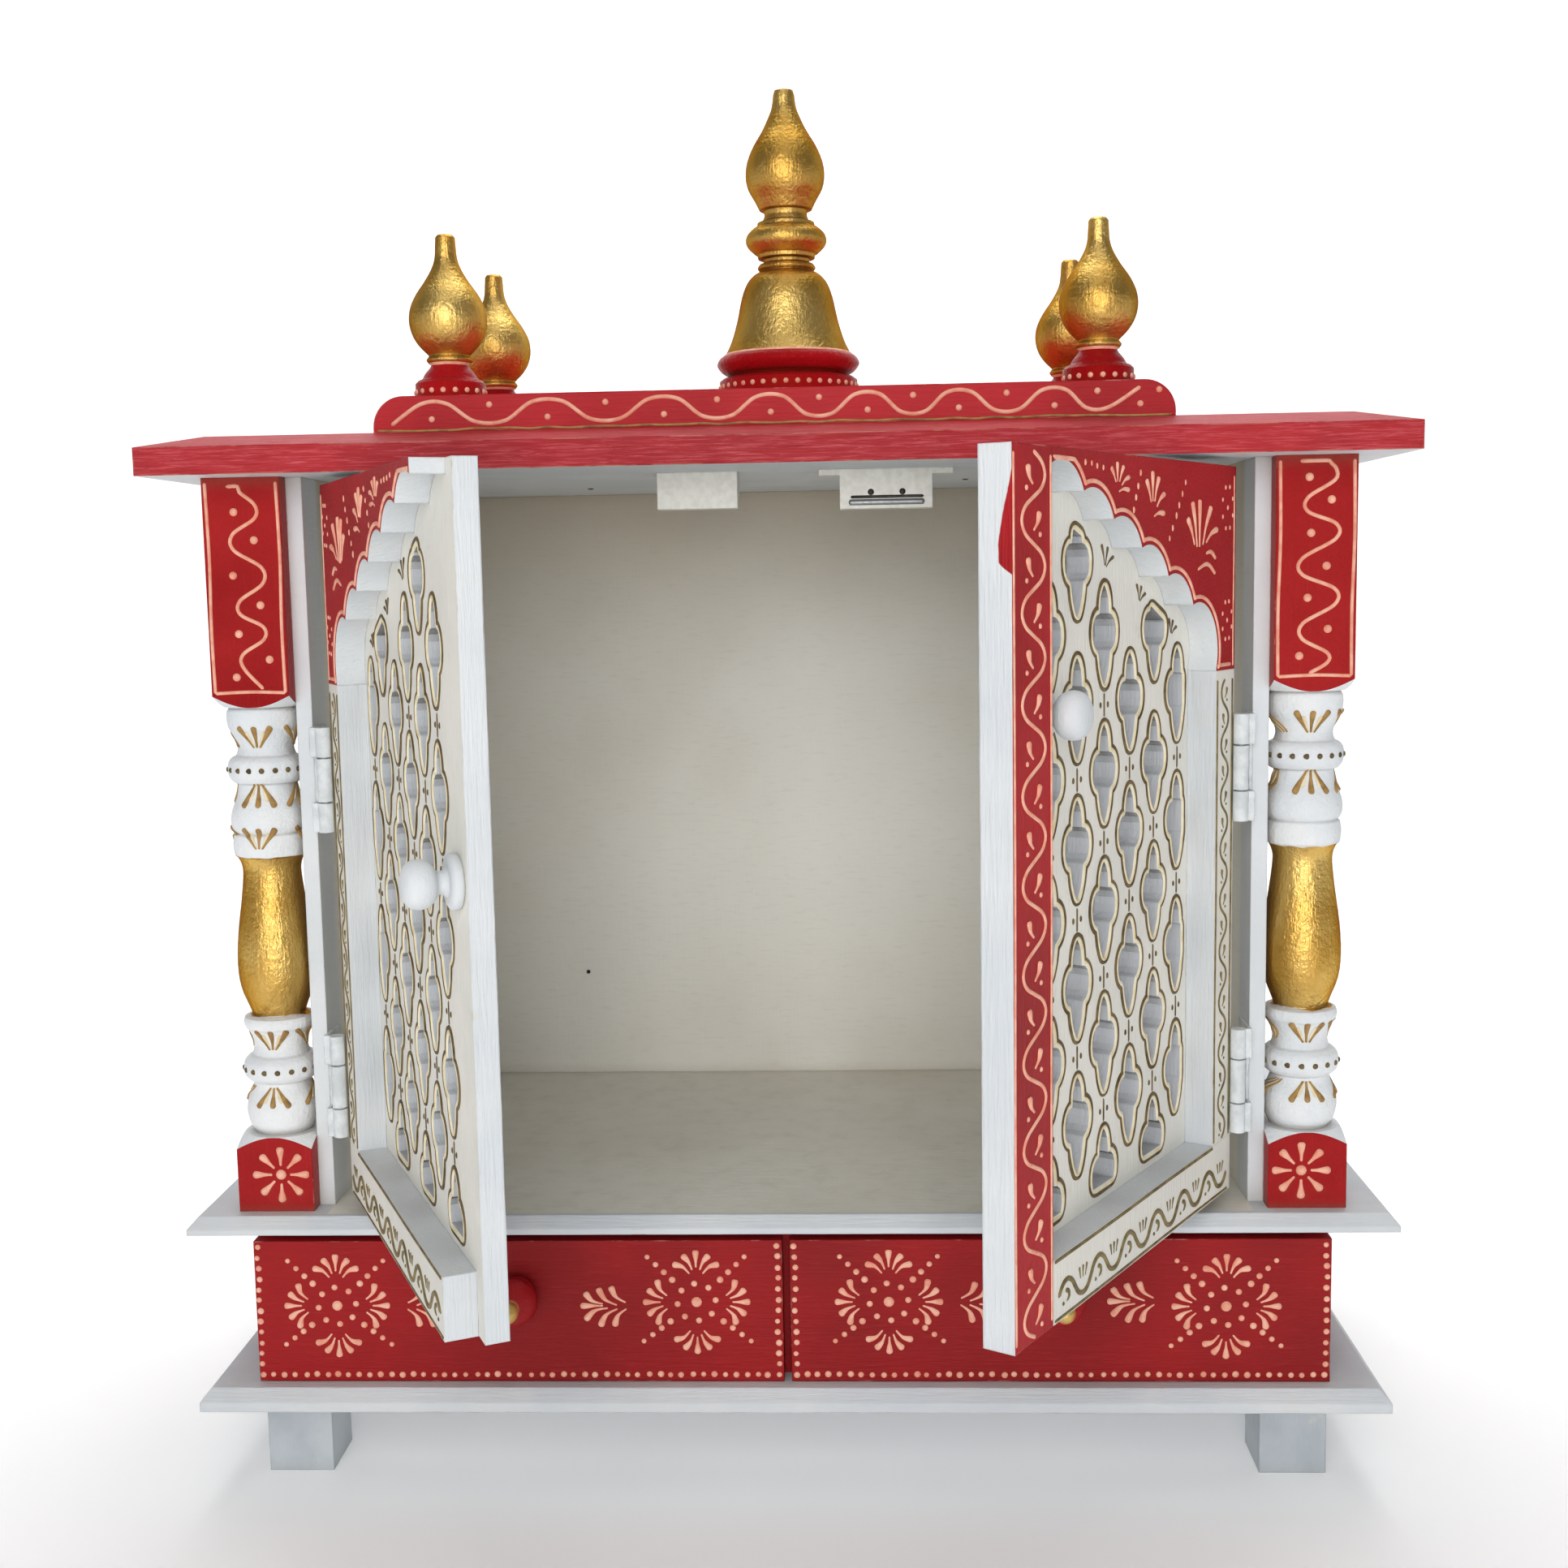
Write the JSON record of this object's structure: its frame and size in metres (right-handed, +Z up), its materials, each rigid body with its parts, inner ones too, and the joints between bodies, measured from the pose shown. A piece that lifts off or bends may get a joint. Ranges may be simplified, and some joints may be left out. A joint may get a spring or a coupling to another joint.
{
  "type": "home shrine cabinet",
  "caption": "Table-top wooden home shrine cabinet with cusped-arch lattice doors, turned columns, drawers under the altar and onion finials on the roof.",
  "frame": {"origin": "on the floor, midway between the four feet", "axes": "+X to the viewer's right, +Y to the back, +Z up; the doors and drawers open towards -Y"},
  "size_m": [0.612, 0.4707, 0.716],
  "materials": {
    "white_paint": "satin paint on wood",
    "red_paint": "satin paint on wood",
    "gold_paint": "gold paint on wood",
    "column_paint": "satin paint on wood",
    "hinge_metal": "painted over",
    "bare_wood": "bare",
    "catch_plastic": "matt"
  },
  "bodies": {
    "cabinet": {"front_feet": "white_paint", "back_feet": "white_paint", "base_board": "white_paint", "drawer_case_sides": "red_paint", "drawer_case_back": "red_paint", "drawer_divider": "red_paint", "altar_board": "white_paint", "left_wall": "white_paint", "right_wall": "white_paint", "back_wall": "white_paint", "left_column": "column_paint", "right_column": "column_paint", "roof_board": "red_paint", "roof_plinth": "red_paint", "central_finial": "gold_paint", "front_finials": "gold_paint", "back_finials": "gold_paint", "left_catch": "catch_plastic", "right_catch": "catch_plastic", "post_hinge_leaves": "hinge_metal"},
    "left_door": {"left_door_panel": "white_paint", "left_door_spandrel": "red_paint", "left_door_stile": "white_paint", "left_door_rail": "white_paint", "left_door_knob": "white_paint", "left_door_hinge_leaves": "hinge_metal"},
    "right_door": {"right_door_panel": "white_paint", "right_door_spandrel": "red_paint", "right_door_stile": "white_paint", "right_door_rail": "white_paint", "right_door_strip": "red_paint", "right_door_knob": "white_paint", "right_door_hinge_leaves": "hinge_metal"},
    "left_drawer": {"left_drawer_front": "red_paint", "left_drawer_sides": "bare_wood", "left_drawer_back": "bare_wood", "left_drawer_bottom": "bare_wood", "left_drawer_knob": "red_paint"},
    "right_drawer": {"right_drawer_front": "red_paint", "right_drawer_sides": "bare_wood", "right_drawer_back": "bare_wood", "right_drawer_bottom": "bare_wood", "right_drawer_knob": "red_paint"}
  },
  "joints": [
    {"name": "left_door_hinge", "type": "hinge", "parent": "cabinet", "child": "left_door", "pos_m": [-0.2283, -0.1255, 0.334], "axis": [0, 0, -1], "range_deg": [-64, 46]},
    {"name": "right_door_hinge", "type": "hinge", "parent": "cabinet", "child": "right_door", "pos_m": [0.2283, -0.1255, 0.334], "axis": [0, 0, 1], "range_deg": [-58, 52]},
    {"name": "left_drawer_slide", "type": "slide", "parent": "cabinet", "child": "left_drawer", "axis": [0, -1, 0], "range_m": [0, 0.18]},
    {"name": "right_drawer_slide", "type": "slide", "parent": "cabinet", "child": "right_drawer", "axis": [0, -1, 0], "range_m": [0, 0.18]}
  ]
}
